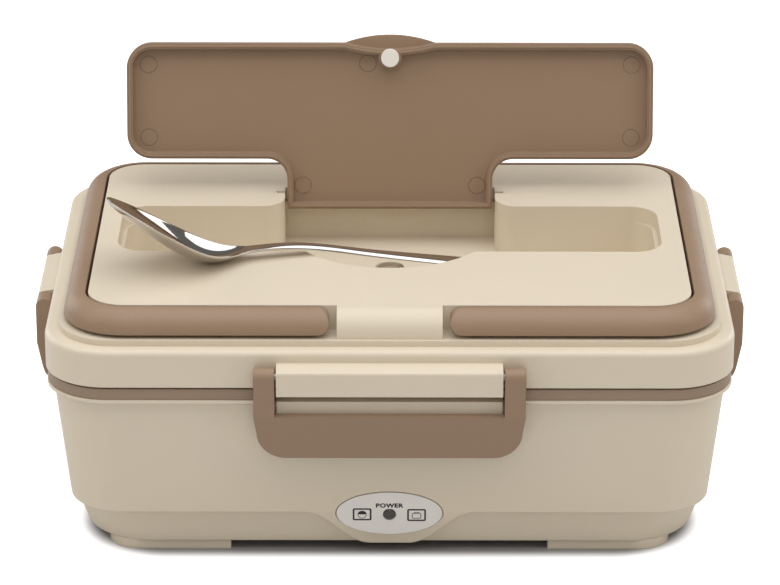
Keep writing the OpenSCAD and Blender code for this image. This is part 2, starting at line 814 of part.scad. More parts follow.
module control_panel() {
    color([0.78, 0.77, 0.73]) on_front() difference() {
        translate([0, 0, 0.15 - panel_t]) linear_extrude(panel_t)
            oval(oval_w - 2 * oval_gap, oval_h - 2 * oval_gap);
        translate([0, -lens_dy, -2]) cylinder(r = lens_r + held_fit, h = 4, $fn = 48);
    }
}

module indicator_lens() {
    color([0.25, 0.24, 0.22]) on_front() translate([0, -lens_dy, 0]) {
        translate([0, 0, -4]) cylinder(r = lens_r, h = 4.1, $fn = 48);
        translate([0, 0, 0.1 - eps]) cylinder(r1 = lens_r, r2 = lens_r - 0.5, h = 0.4, $fn = 48);
    }
}

module led_board() {
    y = board_gap - wall_hy(oval_z);
    color([0.2, 0.45, 0.25]) {
        translate([-board_w / 2, y, oval_z - board_h / 2 - 1.1]) cube([board_w, board_t, board_h]);
        translate([0, y, oval_z - 0.2]) rotate([90, 0, 0])
            cylinder(r = lens_r - 0.75, h = board_gap - 5.4, $fn = 32);
        translate([-9, y + board_t - eps, 11]) cube([2.4, 0.9, 1.2]);
        translate([6, y + board_t - eps, 14]) cube([2.4, 0.9, 1.2]);
    }
}

// TRAY

module food_tray() {
    t = tray_t;
    z = shelf_z + rest_gap;
    color(steel) difference() {
        union() {
            rr(rim_hx, rim_hy, rim_r, z, z + t);
            lean(tray_hx - well_in, tray_hy - well_in, tray_r - 2, tray_z, tray_hx, tray_hy,
                tray_r, z + eps);
        }
        lean(tray_hx - well_in - t, tray_hy - well_in - t, tray_r - 2 - t, tray_z + t,
            tray_hx - t, tray_hy - t, tray_r - t, z + 1 + t);
    }
}

module side_box() {
    t = dish_t;
    z = tray_z + tray_t + side_gap;
    narrow = 3;
    r = 11;
    color([0.93, 0.93, 0.9]) translate([dish_x, 0, 0]) difference() {
        union() {
            lean(dish_hx - narrow, dish_hy - narrow, r - 2, z, dish_hx, dish_hy, r, dish_z - t);
            rr(dish_hx + 2, dish_hy + 2, r + 1, dish_z - t - eps, dish_z);
        }
        lean(dish_hx - narrow - t, dish_hy - narrow - t, r - 2 - t, z + t,
            dish_hx - t, dish_hy - t, r - t, dish_z + 0.4);
    }
}

// LID

// Plan outline of the cutlery recess, grown by g
module pocket2(g, in) {
    hx = pocket_hx - in + g;
    y0 = pocket_y0 - g;
    y1 = pocket_y1 + g;
    f = 8 - g;
    translate([0, (y0 + y1) / 2]) rr2(hx, (y1 - y0) / 2, pocket_r + g - in * 0.8);
    translate([-neck_hx - g, y0 + 10]) square([2 * (neck_hx + g), neck_back + g - y0 - 10]);
    for (s = [-1, 1]) scale([s, 1]) difference() {
        translate([neck_hx + g - eps, y1 - eps]) square(f + eps);
        translate([neck_hx + g + f, y1 + f]) circle(f, $fn = 96);
    }
}

// Plan outline of the finger notch, grown by g
module notch2(g) {
    r = (pow(notch_hx, 2) + pow(notch_l, 2)) / (2 * notch_l);
    w = notch_hx + 4;
    intersection() {
        translate([0, pocket_y0 - notch_l + r]) circle(r + g, $fn = 180);
        translate([-w, pocket_y0 - notch_l - g]) square([2 * w, notch_l + g + 1]);
    }
}

// Cross section of the handle bars and of the blocks between them
module quarter(w, h, foot) {
    n = 12;
    polygon(concat([[0, -foot], [w, -foot]], [for (i = [0:n]) let (a = 90 * i / n)
        [w * cos(a), (h - w) + w * sin(a)]]));
}

// Block that holds one latch pin
module latch_block(hx) {
    z0 = lid_z - 0.7;
    z1 = latch_pz + 3.7;
    difference() {
        slab_yz(-hx, hx) polygon([[-1, z0], [block_out, z0], [block_out, z1 - 2.2],
            [block_out - 0.2, z1 - 1.5], [block_out - 0.9, z1 - 1], [0, z1], [-1, z1]]);
        translate([-hx - 1, arm_y, latch_pz]) rotate([0, 90, 0])
            cylinder(r = lpin_r + held_fit, h = 2 * hx + 2, $fn = 48);
    }
}

module at_lid_screws() {
    for (sx = [-1, 1]) {
        for (sy = [-1, 1]) {
            translate([sx * lid_screw_x, sy * lid_screw_y, 0]) children();
        }
    }
}

// Four cylinders on the handle pivots, from y0 to y1 off the centre line
module handle_sockets(r, y0, y1) {
    for (sx = [-1, 1]) {
        for (a = [0, 180]) {
            rotate([0, 0, a]) translate([sx * pivot_x, y1, pivot_z]) rotate([90, 0, 0])
                cylinder(r = r, h = y1 - y0, $fn = 48);
        }
    }
}

module lid_outside() {
    z = shoulder_z - round_r;
    boss_h = top_z - shoulder_z;
    rr(lid_hx, lid_hy, lid_r, lid_z, z);
    around(lid_hx, lid_hy, lid_r) translate([lid_r - 3, z - eps]) {
        intersection() {
            square([3, round_r + eps]);
            translate([1, eps]) circle(round_r, $fn = 64);
        }
        square([1, round_r + eps]);
    }
    rr(lid_hx - 2.4, lid_hy - 2.4, lid_r - 2.4, z - eps, shoulder_z);
    rr(lid_hx - step_in, lid_hy - step_in, lid_r - 2.5, shoulder_z - eps, ledge_z);
    rr(top_hx, top_hy, top_r, ledge_z - eps, top_z);
    for (a = [0, 180]) rotate([0, 0, a]) translate([0, top_hy + bar_gap, shoulder_z - eps])
        slab_yz(-boss_hx, boss_hx) {
            translate([0, boss_h - bar_h]) quarter(bar_w, bar_h, boss_h - bar_h);
            translate([-2, 0]) square([2 + eps, boss_h]);
        }
}

// Space under the lid, one wall inside its outer form
module lid_inside() {
    rr(lid_hx - lid_t, lid_hy - lid_t, lid_r - lid_t, lid_z - 1, shoulder_z - lid_t);
    rr(lid_hx - step_in - lid_t, lid_hy - step_in - lid_t, lid_r - 5, lid_z, ledge_z - lid_t);
    rr(top_hx - lid_t, top_hy - lid_t, top_r - lid_t, lid_z, top_z - lid_t);
}

// Walls of the cutlery recess, screw posts and handle sockets
module lid_ribs() {
    h = top_z - inner_z - 1;
    translate([0, 0, inner_z]) linear_extrude(h) pocket2(recess_t, 0);
    translate([0, 0, inner_z]) linear_extrude(h) notch2(recess_t);
    for (s = [-1, 1]) translate([s * (neck_hx + 2.6) - 2.6, hinge_y - 4, hinge_z - 5])
        cube([5.2, 8, top_z - hinge_z + 4]);
    at_lid_screws() translate([0, 0, inner_z]) cylinder(r = post_r, h = h, $fn = 48);
    handle_sockets(hpin_r + recess_t, socket_y - 0.4, top_hy - 1);
}

module lid_shell() {
    slot = 3.2;
    color(cream) difference() {
        union() {
            difference() {
                lid_outside();
                lid_inside();
            }
            for (k = [0:3]) side(k) latch_block((k < 2) ? long_hx : short_hx);
            lid_ribs();
        }
        translate([0, 0, floor_z]) linear_extrude(pocket_deep + 1) pocket2(0, end_in);
        translate([0, 0, top_z - end_ledge]) linear_extrude(end_ledge + 1) pocket2(0, 0);
        translate([0, 0, floor_z]) linear_extrude(pocket_deep + 1) notch2(0);
        translate([0, vent_y, lid_z]) cylinder(r = vent_hole, h = 10, $fn = 48);
        for (s = [-1, 1]) translate([s * (neck_hx + slot / 2 - 0.1) - slot / 2, hinge_y, hinge_z]) {
            rotate([0, 90, 0]) cylinder(r = stub_r + run_fit, h = slot, $fn = 48);
            translate([0, -0.8, 0]) cube([slot, 1.6, 5]);
        }
        at_lid_screws() translate([0, 0, plate_z])
            cylinder(r = screw_r + held_fit, h = lid_screw_l + 2, $fn = 32);
        handle_sockets(hpin_r + held_fit, socket_y, top_hy + 0.1);
    }
    color(cream) vent_boss();
}

// Round boss with a stepped seat for the vent plug
module vent_boss() {
    h = vent_z - floor_z;
    seat = plug_r + 0.55;
    translate([0, vent_y, floor_z - eps]) rotate_extrude($fn = 96) polygon([[vent_hole, 0],
        [vent_r, 0], [vent_r, h - 0.3], [vent_r - 0.3, h], [seat + 0.3, h], [seat, h - 1.5],
        [seat - 1.2, h - 1.5], [seat - 1.2, h - 1.1], [vent_hole, h - 1.1]]);
}

module lid_inner() {
    w = 1.8;
    t = 1.4;
    deep = 1.2;
    color([0.8, 0.77, 0.7]) difference() {
        union() {
            rr(lid_hx - lid_t - 0.4, lid_hy - lid_t - 0.4, lid_r - lid_t - 0.4, plate_z,
                plate_z + plate_t);
            rr(seal_hx + w + t, seal_hy + w + t, seal_r + w + t, plate_z - deep, plate_z + eps);
        }
        rr(seal_hx + w, seal_hy + w, seal_r + w, plate_z - deep - 1, plate_z - eps);
        translate([0, vent_y, plate_z - 3]) cylinder(r = vent_hole, h = 6, $fn = 48);
        at_lid_screws() translate([0, 0, plate_z - 1])
            cylinder(r = screw_r + pass_gap, h = plate_t + 3, $fn = 32);
    }
    color([0.8, 0.77, 0.7]) difference() {
        rr(seal_hx - w, seal_hy - w, seal_r - w, plate_z - deep, plate_z + eps);
        rr(seal_hx - w - t, seal_hy - w - t, seal_r - w - t, plate_z - deep - 1, plate_z + 1);
    }
}

module lid_gasket() {
    z = seal_z + gasket_r;
    color(white) around(seal_hx, seal_hy, seal_r) translate([seal_r, 0]) {
        translate([-1.6, plate_z - 1.15]) square([3.2, 1.1]);
        translate([0, z]) circle(gasket_r, $fn = 48);
        translate([-0.8, z]) square([1.6, plate_z - 1.1 - z]);
    }
}

module lid_screws() {
    color(steel) at_lid_screws() screw(plate_z - rest_gap, lid_screw_l);
}

// LATCHES

// Front or side view of one latch
module bail_outline(o) {
    r = latch_r;
    b = o - 0.9;
    top = latch_pz + arm_r + 1;
    polygon(concat([[-o, top], [o, top], [o, latch_z1]],
        [for (a = [0:-6:-90]) [b - r + r * cos(a), latch_z0 + r + r * sin(a)]],
        [for (a = [-90:-6:-180]) [r - b + r * cos(a), latch_z0 + r + r * sin(a)]],
        [[-o, latch_z1]]));
}

// Section of a latch arm
module arm_section() {
    translate([arm_y, latch_pz]) circle(arm_r, $fn = 64);
    polygon([[side_gap, latch_pz], [latch_out, latch_pz], [latch_out, latch_z1],
        [foot_out, latch_z0], [foot_in, latch_z0], [side_gap, latch_z1]]);
}

// Section of the cross bar, cut back where it swings past the catch strip
module bar_section() {
    face = catch_out + snap_gap;
    z = catch_z0 - snap_gap;
    polygon([[face, latch_z1], [latch_out, latch_z1], [foot_out, latch_z0],
        [foot_in, latch_z0], [foot_in, z - (face - foot_in) * catch_slope], [face, z]]);
}

// Section of the rib that snaps under the ridge on the base
module rib_section() {
    tip = ridge_out - rib_grip;
    in = foot_in + 0.3;
    z = ridge_z - snap_gap - 0.1;
    polygon([[in, z + (in - ridge_out) * ridge_slope], [tip, z - rib_grip * ridge_slope],
        [tip, z - rib_grip * ridge_slope - 0.9], [in, z - rib_grip * ridge_slope - 2.2]]);
}

module latch(hx) {
    o = hx + arm_gap + arm_w;
    color(brown) difference() {
        intersection() {
            slab_xz(-2, latch_out + 1) bail_outline(o);
            union() {
                for (x = [-o, o - arm_w]) slab_yz(x, x + arm_w) arm_section();
                slab_yz(1 - o, o - 1) bar_section();
                slab_yz(2 - hx, hx - 2) rib_section();
            }
        }
        for (s = [0, 1]) mirror([s, 0, 0]) translate([hx, arm_y, latch_pz])
            rotate([0, 90, 0]) cylinder(r = lpin_r + run_fit, h = arm_gap + lpin_in + 0.2, $fn = 48);
    }
}

module latch_pin(hx) {
    l = hx + arm_gap + lpin_in;
    translate([-l, arm_y, latch_pz]) rotate([0, 90, 0]) cylinder(r = lpin_r, h = 2 * l, $fn = 48);
}

module latch_front() {
    side(0) latch(long_hx);
}

module latch_back() {
    side(1) latch(long_hx);
}

module latch_left() {
    side(2) latch(short_hx);
}

module latch_right() {
    side(3) latch(short_hx);
}

module latch_pins_long() {
    color(steel) for (k = [0, 1]) side(k) latch_pin(long_hx);
}

module latch_pins_short() {
    color(steel) for (k = [2, 3]) side(k) latch_pin(short_hx);
}

// HANDLES

module handle_bar() {
    ri = bar_r - bar_w;
    for (sy = [0, 1]) mirror([0, sy, 0]) {
        translate([bar_hx - bar_r, bar_hy - bar_r, bar_z])
            rotate_extrude(angle = 90, $fn = 120) translate([ri, 0]) quarter(bar_w, bar_h, 0);
        intersection() {
            translate([0, bar_hy - bar_w, bar_z])
                slab_yz(pivot_x - end_r, bar_hx - bar_r) quarter(bar_w, bar_h, 0);
            union() {
                translate([pivot_x, 0, 0]) cube([bar_hx, bar_hy + 1, top_z + 1]);
                translate([pivot_x, bar_hy + 1, pivot_z]) rotate([90, 0, 0])
                    cylinder(r = end_r, h = bar_w + 2, $fn = 64);
            }
        }
    }
    translate([bar_hx - bar_w, bar_hy - bar_r, bar_z]) rotate([90, 0, 0])
        linear_extrude(2 * (bar_hy - bar_r)) quarter(bar_w, bar_h, 0);
}

module handle() {
    color(brown) difference() {
        handle_bar();
        handle_sockets(hpin_r + run_fit, bar_hy - bar_w - 1, hpin_y + 0.2);
    }
}

module handle_right() {
    handle();
}

module handle_left() {
    mirror([1, 0, 0]) handle();
}

module handle_pins() {
    color(steel) handle_sockets(hpin_r, socket_y + 0.1, hpin_y);
}

// CUTLERY COVER, drawn shut and then turned open

module cover2(g) {
    hx = cover_hx - g;
    y0 = cover_y0 + g;
    y1 = neck_y - g;
    f = 7.5 + g;
    translate([0, (y0 + y1) / 2]) rr2(hx, (y1 - y0) / 2, 9 - g);
    translate([-cover_nx + g, y0 + 10]) square([2 * (cover_nx - g), cover_y1 - g - y0 - 10]);
    for (s = [-1, 1]) scale([s, 1]) difference() {
        translate([cover_nx - g - eps, y1 - eps]) square(f + eps);
        translate([cover_nx - g + f, y1 + f]) circle(f, $fn = 96);
    }
}

// Round cut that leaves the grip tab thin
module tab_cut(g) {
    r = 62;
    translate([0, cover_y0 + 2.2 - r]) circle(r + g, $fn = 180);
}

module tab2() {
    r = (pow(tab_hx, 2) + pow(tab_l, 2)) / (2 * tab_l);
    intersection() {
        translate([0, cover_y0 - tab_l + r]) circle(r, $fn = 180);
        translate([-tab_hx, cover_y0 - tab_l]) square([2 * tab_hx, tab_l + 3]);
    }
}

module turned_open() {
    translate([0, hinge_y, hinge_z]) rotate([-cover_open, 0, 0])
        translate([0, -hinge_y, -hinge_z]) children();
}

// Rim, hinge stubs and plate of the cover, and the raised pad that holds the vent plug
module cutlery_cover() {
    z0 = top_z - cover_h;
    pad = stem_r + 2.15;
    color(brown) turned_open() difference() {
        union() {
            translate([0, 0, top_z - cover_t]) linear_extrude(cover_t) {
                cover2(0);
                tab2();
            }
            translate([0, 0, z0]) linear_extrude(cover_h - eps) difference() {
                cover2(0);
                difference() {
                    cover2(cover_rim);
                    tab_cut(cover_rim);
                }
                tab_cut(0);
            }
            translate([0, 0, z0]) linear_extrude(cover_h - eps) difference() {
                union() {
                    translate([0, vent_y]) circle(pad, $fn = 64);
                    translate([-pad, cover_y0 + 2.6]) square([2 * pad, vent_y - cover_y0 - 2.6]);
                }
                tab_cut(0);
            }
            for (s = [0, 1]) mirror([s, 0, 0]) translate([cover_nx - 1, hinge_y, hinge_z])
                rotate([0, 90, 0]) cylinder(r = stub_r, h = neck_hx - cover_nx + 3.8, $fn = 48);
        }
        translate([0, vent_y, z0 - 1]) cylinder(r = stem_r + held_fit, h = 4.2, $fn = 48);
    }
}

module vent_plug() {
    z0 = top_z - cover_h;
    color(white) turned_open() translate([0, vent_y, 0]) {
        translate([0, 0, z0 - 1 + eps]) cylinder(r = stem_r, h = 4.1, $fn = 48);
        translate([0, 0, vent_z - 0.8])
            cylinder(r = plug_r, h = z0 - vent_z + 0.75, $fn = 64);
    }
}

// SPOON, a shell swept along its side view, which tips its bowl up on the flat top

// Share of a cosine step between two positions
function ease(x, x0, x1) = (1 - cos(180 * min(1, max(0, (x - x0) / (x1 - x0))))) / 2;

// Height of the rim's middle, by a smooth curve through the spoon's route
function route(x, k = 0) = k >= len(spoon_route) - 2 || x <= spoon_route[k + 1][0] ?
    let (a = spoon_route[k], b = spoon_route[k + 1], t = (x - a[0]) / (b[0] - a[0]),
        w = b[0] - a[0], h1 = 3 * t * t - 2 * t * t * t)
    a[1] * (1 - h1) + b[1] * h1 + w * (a[2] * t * (1 - t) * (1 - t) - b[2] * t * t * (1 - t)) :
    route(x, k + 1);

// Half width of the spoon
function half_w(x) = let (t = (x - tip_x) / bowl_l)
    t < 0.52 ? max(0.5, bowl_hw * sqrt(max(0, 1 - pow((0.52 - t) / 0.52, 2)))) :
    neck_w + (bowl_hw - neck_w) * (1 - ease(t, 0.52, 1)) +
    (grip_hw - neck_w) * ease(x, -30, end_x) * (x > end_x - 5 ?
        sqrt(max(0.03, 1 - pow((x - end_x + 5) / 5.1, 2))) : 1);

// Depth of the bowl below its rim
function hollow(x) = let (t = (x - tip_x) / (bowl_l * 0.94))
    t > 1 ? 0 : bowl_d * pow(sin(180 * t), t < 0.5 ? 0.75 : 1.2);

// Sheet thickness, thinner in the bowl
function sheet_t(x) = spoon_t * (0.7 + 0.3 * ease(x, -56, -36));

module spoon() {
    m = 6;
    xs = concat([0, 0.5, 1.3, 2.5, 4, 6], [for (i = [9:3.5:62]) i], [for (i = [68:8:150]) i],
        [end_x - tip_x - 3, end_x - tip_x - 1.2, end_x - tip_x]);
    c = cos(spoon_turn);
    sn = sin(spoon_turn);
    lift = top_z + side_gap - min([for (x = [-75:0.5:-45]) route(x) - hollow(x) - sheet_t(x)]);
    top = [for (i = xs) let (x = tip_x + i, w = half_w(x), d = hollow(x),
            roll = tan(spoon_roll) * (1 - ease(x, tip_x + bowl_l * 0.6, tip_x + bowl_l * 1.3)))
        [for (j = [-m:m]) let (q = j / m) [x - w * q * sn,
            spoon_y + (x - rest_x) * sn / c + w * q * c,
            route(x) + lift - d * (1 - q * q) - w * q * roll]]];
    bot = [for (v = top) [for (j = [0:2 * m]) [v[j][0], v[j][1],
        v[j][2] - sheet_t(v[m][0]) * (1 - 0.35 * pow(abs(j / m - 1), 3))]]];
    k = 2 * m + 1;
    n = len(xs);
    e = k - 1;
    b = n * k;
    a = (n - 1) * k;
    pts = concat([for (v = top) for (p = v) p], [for (v = bot) for (p = v) p]);
    color(steel) polyhedron(points = pts, faces = concat(
        [for (i = [0:k:a - k]) for (j = [0:e - 1]) each [[i + j, i + k + j, i + k + j + 1],
            [i + j, i + k + j + 1, i + j + 1]]],
        [for (i = [b:k:b + a - k]) for (j = [0:e - 1]) each [[i + j, i + k + j + 1, i + k + j],
            [i + j, i + j + 1, i + k + j + 1]]],
        [for (i = [0:k:a - k]) each [[i, b + i, b + i + k], [i, b + i + k, i + k],
            [i + e, i + k + e, b + i + k + e], [i + e, b + i + k + e, b + i + e]]],
        [for (j = [0:e - 1]) each [[j, j + 1, b + j + 1], [j, b + j + 1, b + j],
            [a + j, b + a + j, b + a + j + 1], [a + j, b + a + j + 1, a + j + 1]]]));
}

base_shell();
bottom_cover();
cover_screws();
inner_liner();
heating_plate();
ptc_heater();
heater_clamp();
clamp_screws();
heat_shield();
thermostat();
thermal_fuse();
wiring();
inlet_housing();
inlet_pins();
control_panel();
indicator_lens();
led_board();
food_tray();
side_box();
lid_shell();
lid_inner();
lid_gasket();
lid_screws();
latch_front();
latch_back();
latch_left();
latch_right();
latch_pins_long();
latch_pins_short();
handle_left();
handle_right();
handle_pins();
cutlery_cover();
vent_plug();
spoon();
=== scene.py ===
import bmesh
import bpy
import json
import math
from mathutils import Matrix, Vector


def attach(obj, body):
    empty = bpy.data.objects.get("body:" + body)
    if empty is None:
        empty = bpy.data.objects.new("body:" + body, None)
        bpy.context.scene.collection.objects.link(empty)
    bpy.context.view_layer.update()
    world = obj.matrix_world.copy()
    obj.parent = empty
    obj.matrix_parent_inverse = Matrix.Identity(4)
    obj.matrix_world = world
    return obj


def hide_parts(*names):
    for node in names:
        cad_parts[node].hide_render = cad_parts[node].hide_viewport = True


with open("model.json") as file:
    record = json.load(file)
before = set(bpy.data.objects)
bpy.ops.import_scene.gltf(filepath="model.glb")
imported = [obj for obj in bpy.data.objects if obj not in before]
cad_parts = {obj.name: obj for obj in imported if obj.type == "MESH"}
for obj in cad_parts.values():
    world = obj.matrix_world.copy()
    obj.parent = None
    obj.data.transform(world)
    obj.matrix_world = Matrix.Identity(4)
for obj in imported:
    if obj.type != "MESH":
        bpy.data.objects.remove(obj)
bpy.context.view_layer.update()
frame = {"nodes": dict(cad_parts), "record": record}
NODES = frame["nodes"]
MM = 0.001


# Colour and nodes

def lin(c):
    """One channel of an sRGB colour as linear light."""
    return c / 12.92 if c <= 0.04045 else ((c + 0.055) / 1.055) ** 2.4


def hexcol(h, a=1.0):
    h = h.lstrip("#")
    return tuple(lin(int(h[i:i + 2], 16) / 255) for i in (0, 2, 4)) + (a,)


def add(nt, kind, **vals):
    """A node with its settings and unlinked inputs.

    Names with a leading underscore are properties; two underscores stand for a space.
    """
    n = nt.nodes.new(kind)
    for k, v in vals.items():
        if k.startswith("_"):
            setattr(n, k[1:], v)
        else:
            n.inputs[k.replace("__", " ")].default_value = v
    return n


def new_material(name):
    m = bpy.data.materials.new(name)
    m.use_nodes = True
    nt = m.node_tree
    nt.nodes.clear()
    out = add(nt, "ShaderNodeOutputMaterial")
    bs = add(nt, "ShaderNodeBsdfPrincipled")
    nt.links.new(bs.outputs[0], out.inputs[0])
    return m, nt, bs


# most of a noise texture's values lie between these two
NOISE_LOW = 0.3
NOISE_HIGH = 0.7


def varied_roughness(nt, bs, noise, low, high):
    """Lets a noise texture drive the roughness between two values."""
    mr = add(nt, "ShaderNodeMapRange", From__Min=NOISE_LOW, From__Max=NOISE_HIGH, To__Min=low,
        To__Max=high)
    nt.links.new(noise.outputs["Fac"], mr.inputs["Value"])
    nt.links.new(mr.outputs["Result"], bs.inputs["Roughness"])


def relief(nt, bs, noise, strength, depth, edge, samples):
    """Raises a noise texture as bump, over edges softened to a radius."""
    bump = add(nt, "ShaderNodeBump", Strength=strength, Distance=depth)
    nt.links.new(noise.outputs["Fac"], bump.inputs["Height"])
    if edge:
        bev = add(nt, "ShaderNodeBevel", _samples=samples, Radius=edge)
        nt.links.new(bev.outputs["Normal"], bump.inputs["Normal"])
    nt.links.new(bump.outputs["Normal"], bs.inputs["Normal"])


# noise per metre: clouds of colour, patches of gloss, and streaks or wear on metal
CLOUDS = 22.0
PATCHES = 90.0
WEAR = 300.0
GLOSS_SWING = 0.04


def plastic(name, col, rough=0.42, drift=0.02, grain=0.00012, grain_size=0.0006, edge=0.0004,
        **extra):
    """Injection moulded plastic: slight colour drift, spark eroded grain, softened edges."""
    m, nt, bs = new_material(name)
    base = hexcol(col)
    for k, v in extra.items():
        bs.inputs[k.replace("__", " ")].default_value = v
    tc = add(nt, "ShaderNodeTexCoord")
    cloud = add(nt, "ShaderNodeTexNoise", Scale=CLOUDS, Detail=3.0, Roughness=0.5)
    patch = add(nt, "ShaderNodeTexNoise", Scale=PATCHES, Detail=4.0, Roughness=0.6)
    fine = add(nt, "ShaderNodeTexNoise", Scale=1.0 / grain_size, Detail=2.0, Roughness=0.6)
    for noise in (cloud, patch, fine):
        nt.links.new(tc.outputs["Object"], noise.inputs["Vector"])
    ramp = add(nt, "ShaderNodeMix", _data_type="RGBA",
        A=tuple(c * (1 - drift) for c in base[:3]) + (1,),
        B=tuple(min(1, c * (1 + drift)) for c in base[:3]) + (1,))
    nt.links.new(cloud.outputs["Fac"], ramp.inputs["Factor"])
    nt.links.new(ramp.outputs["Result"], bs.inputs["Base Color"])
    varied_roughness(nt, bs, patch, rough - GLOSS_SWING, rough + GLOSS_SWING)
    relief(nt, bs, fine, 0.35, grain, edge, 6)
    return m


def metal(name, col, rough=0.25, streak=(1, 1, 1), bump_mm=0.0, edge=0.0003, aniso=0.0,
        spread=0.03):
    """Metal with rolling or brushing streaks along one axis, or with fine wear."""
    m, nt, bs = new_material(name)
    bs.inputs["Metallic"].default_value = 1.0
    bs.inputs["Base Color"].default_value = hexcol(col)
    bs.inputs["Anisotropic"].default_value = aniso
    tc = add(nt, "ShaderNodeTexCoord")
    mp = add(nt, "ShaderNodeMapping", Scale=streak)
    noise = add(nt, "ShaderNodeTexNoise", Scale=WEAR, Detail=5.0, Roughness=0.65)
    nt.links.new(tc.outputs["Object"], mp.inputs["Vector"])
    nt.links.new(mp.outputs["Vector"], noise.inputs["Vector"])
    varied_roughness(nt, bs, noise, max(0.02, rough - spread), rough + spread)
    relief(nt, bs, noise, 0.5, bump_mm * MM, edge, 4)
    return m


# moulded ABS shells of the base and the lid, cream, satin tool finish
CREAM = plastic("cream_abs_injection_moulded", "#DED2BC", rough=0.38)
# moulded polypropylene trim: latches, handles and cutlery cover, warm brown
BROWN = plastic("brown_pp_injection_moulded", "#987E65", rough=0.42, edge=0.0006)
# the liner, the same brown, a little duller
LINER = plastic("brown_pp_liner_moulded", "#99846E", rough=0.5)
# inner lid plate, natural ABS
INNER = plastic("ivory_abs_inner_plate_moulded", "#DAD0BC", rough=0.46)
# translucent silicone of the gasket and the vent plug
SILICONE = plastic("milky_silicone_rubber_cast", "#EDEAE2", rough=0.5, grain=0.00006,
    edge=0.0003, Subsurface__Weight=0.25, Subsurface__Scale=0.002)
# inlet housing and thermostat body
BLACK = plastic("black_nylon_moulded", "#141414", rough=0.45)
# the control panel's film, printed silver grey from behind
PANEL = plastic("silver_grey_printed_polycarbonate_film", "#E9E6E0", rough=0.34, drift=0.01,
    grain=0.00004, edge=0.0002)
# pale fields that are screen printed under the icons
PRINT_WHITE = plastic("pale_grey_screen_printed_ground", "#F7F5F0", rough=0.45, drift=0.0,
    grain=0.0, edge=0)
# the dark ink of the legend and the icons
INK = plastic("dark_grey_screen_printed_ink", "#1E1C1A", rough=0.5, drift=0.0, grain=0.0, edge=0)
# clear moulded acrylic over the lamp, tinted dark
LENS = plastic("smoked_acrylic_lens_moulded", "#3A3734", rough=0.12, drift=0.0, grain=0.0,
    edge=0.0003, Coat__Weight=0.6)
# the lamp's board: glass epoxy under solder mask
BOARD = plastic("green_solder_mask_on_glass_epoxy", "#1F5A34", rough=0.3, edge=0)
# sleeves of the inner leads
WIRE = plastic("red_silicone_wire_sleeve_extruded", "#A32018", rough=0.5, edge=0)
# heater stone in its amber insulating film
CERAMIC = plastic("amber_film_wrapped_heater_stone", "#C9963C", rough=0.3, edge=0)
# the side dish, white polypropylene, slightly see through
DISH = plastic("white_pp_dish_moulded", "#EFEDE6", rough=0.38, Subsurface__Weight=0.1,
    Subsurface__Scale=0.002)
# the food tray, deep drawn and brushed along its length
TRAY = metal("satin_stainless_pressed_sheet", "#C9C8C5", rough=0.3, streak=(0.04, 1, 1),
    bump_mm=0.004, aniso=0.3)
# the spoon, stamped and polished to a mirror
SPOON = metal("mirror_polished_stainless_spoon", "#D2CDC6", rough=0.07, edge=0, spread=0.02)
# all screws, zinc plated
SCREW = metal("zinc_plated_steel_screw", "#A8ABAD", rough=0.34, bump_mm=0.002)
# hinge pins, the heater's spring clamp and the fuse's case
SPRING = metal("drawn_steel_wire_pin", "#9A9A98", rough=0.3, bump_mm=0.002)
# the heating plate and the heat shield
ALU = metal("machined_cast_aluminium", "#BDBEC0", rough=0.38, streak=(1, 0.05, 1), bump_mm=0.01)
# the inlet's two pins
BRASS = metal("turned_brass_contact", "#C9A75A", rough=0.28, bump_mm=0.002)

BY_SLOT = {
    "cream_plastic": CREAM, "brown_plastic": BROWN, "liner_plastic": LINER,
    "inner_plastic": INNER, "tray_steel": TRAY, "polished_steel": SPOON, "screw_steel": SCREW,
    "spring_steel": SPRING, "cast_aluminium": ALU, "silicone": SILICONE, "black_plastic": BLACK,
    "contact_brass": BRASS, "panel_grey": PANEL, "lens_smoke": LENS, "board_green": BOARD,
    "wire_red": WIRE, "heater_ceramic": CERAMIC, "dish_white": DISH,
}
SLOT_OF = {s["node"]: s["material_slot"] for s in frame["record"]["subparts"]}
for name, ob in NODES.items():
    for held in ob.material_slots:
        held.material = BY_SLOT[SLOT_OF[name]]
    if not ob.material_slots:
        ob.data.materials.append(BY_SLOT[SLOT_OF[name]])


# Pieces made here

def outward(bm, smooth=True):
    bmesh.ops.recalc_face_normals(bm, faces=bm.faces)
    for f in bm.faces:
        f.smooth = smooth


def piece(name, bm, mat, body):
    """A finished mesh in the shared frame, in metres, with its material and body."""
    me = bpy.data.meshes.new(name)
    bm.to_mesh(me)
    bm.free()
    ob = bpy.data.objects.new(name, me)
    bpy.context.scene.collection.objects.link(ob)
    me.materials.append(mat)
    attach(ob, body)
    return ob


def merge_into(bm, part):
    """Adds one small mesh to another and frees it."""
    me = bpy.data.meshes.new("part")
    part.to_mesh(me)
    part.free()
    bm.from_mesh(me)
    bpy.data.meshes.remove(me)


# The open cutlery cover turns about its hinge line. Its pieces are drawn with the cover shut, in
# millimetres, and then opened.
HINGE_Y = 39.1
HINGE_Z = 89.0
OPEN_DEG = 104.5
COVER_INNER_Z = 89.7
COVER_OPEN = (Matrix.Scale(MM, 4) @ Matrix.Translation((0, HINGE_Y, HINGE_Z))
    @ Matrix.Rotation(math.radians(-OPEN_DEG), 4, "X")
    @ Matrix.Translation((0, -HINGE_Y, -HINGE_Z)))

# witness rings that the ejector pins leave on the inner face of the cover
EJECTOR_R = 3.05
EJECTOR_LINE_R = 0.13
EJECTOR_AT = [(-88, -9.8), (-88, 16.7), (88, -9.8), (88, 16.7), (-31.8, 34.3), (31.8, 34.3),
    (-8.1, -10.3)]


